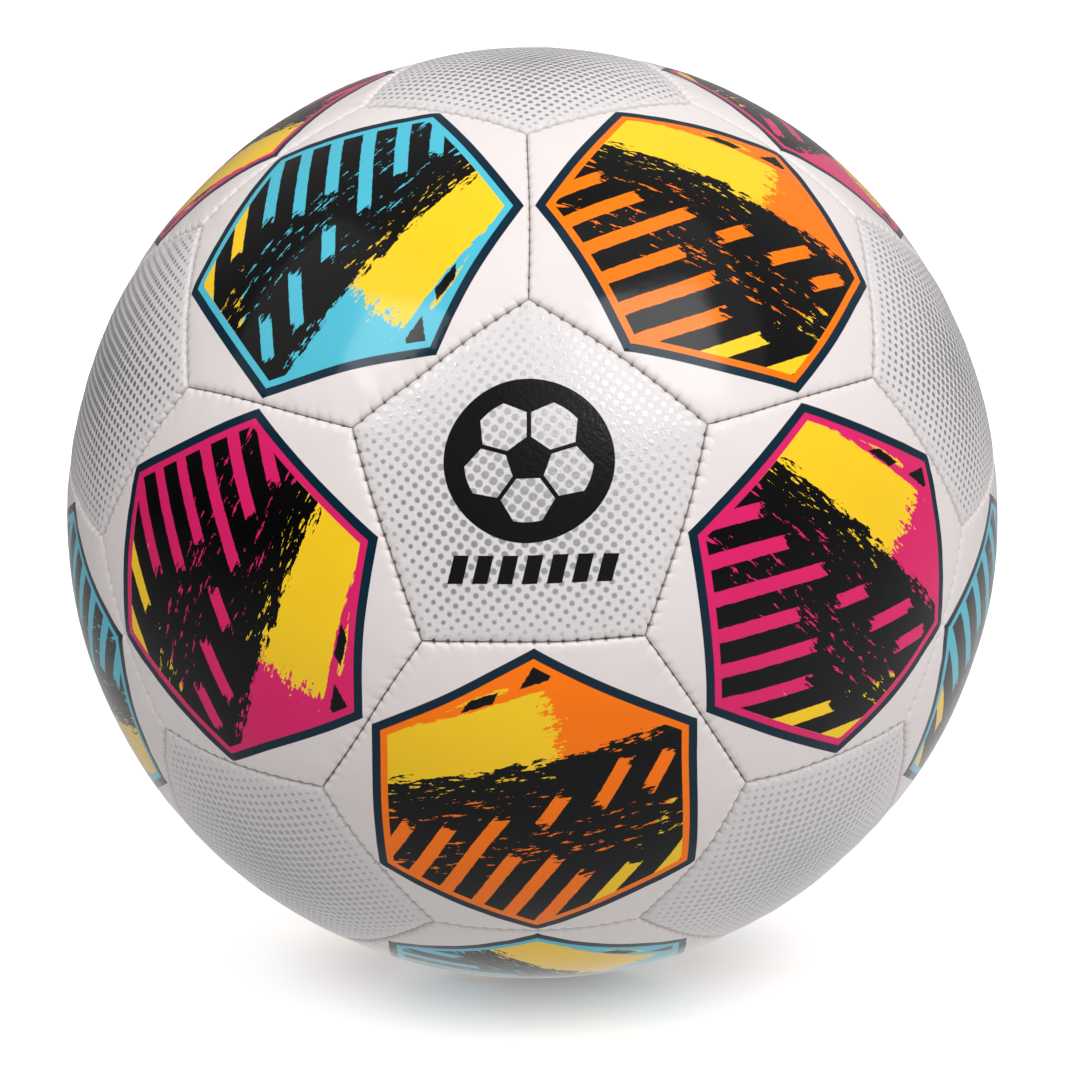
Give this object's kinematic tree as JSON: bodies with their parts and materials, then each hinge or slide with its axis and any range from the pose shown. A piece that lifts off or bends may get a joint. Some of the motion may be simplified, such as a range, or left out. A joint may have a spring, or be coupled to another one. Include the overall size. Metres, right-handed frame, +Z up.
{
  "type": "stitched soccer ball",
  "caption": "Inflated soccer ball of stitched pentagon and hexagon panels over foam, cloth lining and a rubber bladder with a needle valve.",
  "frame": {"origin": "centre of the ball", "axes": "-Y towards the front pentagon, whose axis tips 10.7 degrees up from -Y; +X to the right seen from the front; +Z up"},
  "size_m": [0.22, 0.22, 0.22],
  "materials": {
    "pentagon_cover": "white coated synthetic leather, fine emboss, silver dot print",
    "hexagon_cover_blue": "glossy white coated synthetic leather, printed in blue, yellow, black and navy",
    "hexagon_cover_orange": "glossy white coated synthetic leather, printed in orange, yellow, black and navy",
    "hexagon_cover_magenta": "glossy white coated synthetic leather, printed in magenta, yellow, black and navy",
    "foam": "closed-cell foam sheet, matte",
    "lining": "layered woven cloth backing, matte",
    "thread": "waxed polyester thread",
    "bladder_rubber": "satin moulded rubber",
    "valve_rubber": "satin moulded rubber"
  },
  "bodies": {
    "root": {"pentagon_panel_1": "pentagon_cover", "pentagon_panel_2": "pentagon_cover", "pentagon_panel_3": "pentagon_cover", "pentagon_panel_4": "pentagon_cover", "pentagon_panel_5": "pentagon_cover", "pentagon_panel_6": "pentagon_cover", "pentagon_panel_7": "pentagon_cover", "pentagon_panel_8": "pentagon_cover", "pentagon_panel_9": "pentagon_cover", "pentagon_panel_10": "pentagon_cover", "pentagon_panel_11": "pentagon_cover", "pentagon_panel_12": "pentagon_cover", "hexagon_panel_1": "hexagon_cover_orange", "hexagon_panel_2": "hexagon_cover_blue", "hexagon_panel_3": "hexagon_cover_magenta", "hexagon_panel_4": "hexagon_cover_orange", "hexagon_panel_5": "hexagon_cover_magenta", "hexagon_panel_6": "hexagon_cover_magenta", "hexagon_panel_7": "hexagon_cover_magenta", "hexagon_panel_8": "hexagon_cover_blue", "hexagon_panel_9": "hexagon_cover_blue", "hexagon_panel_10": "hexagon_cover_blue", "hexagon_panel_11": "hexagon_cover_blue", "hexagon_panel_12": "hexagon_cover_orange", "hexagon_panel_13": "hexagon_cover_magenta", "hexagon_panel_14": "hexagon_cover_orange", "hexagon_panel_15": "hexagon_cover_orange", "hexagon_panel_16": "hexagon_cover_orange", "hexagon_panel_17": "hexagon_cover_magenta", "hexagon_panel_18": "hexagon_cover_blue", "hexagon_panel_19": "hexagon_cover_magenta", "hexagon_panel_20": "hexagon_cover_blue", "pentagon_foam": "foam", "hexagon_foam": "foam", "pentagon_lining": "lining", "hexagon_lining": "lining", "front_seam_thread": "thread", "back_seam_thread": "thread", "hexagon_seam_thread": "thread", "bladder": "bladder_rubber", "valve_housing": "valve_rubber", "valve_core": "valve_rubber"}
  },
  "joints": []
}
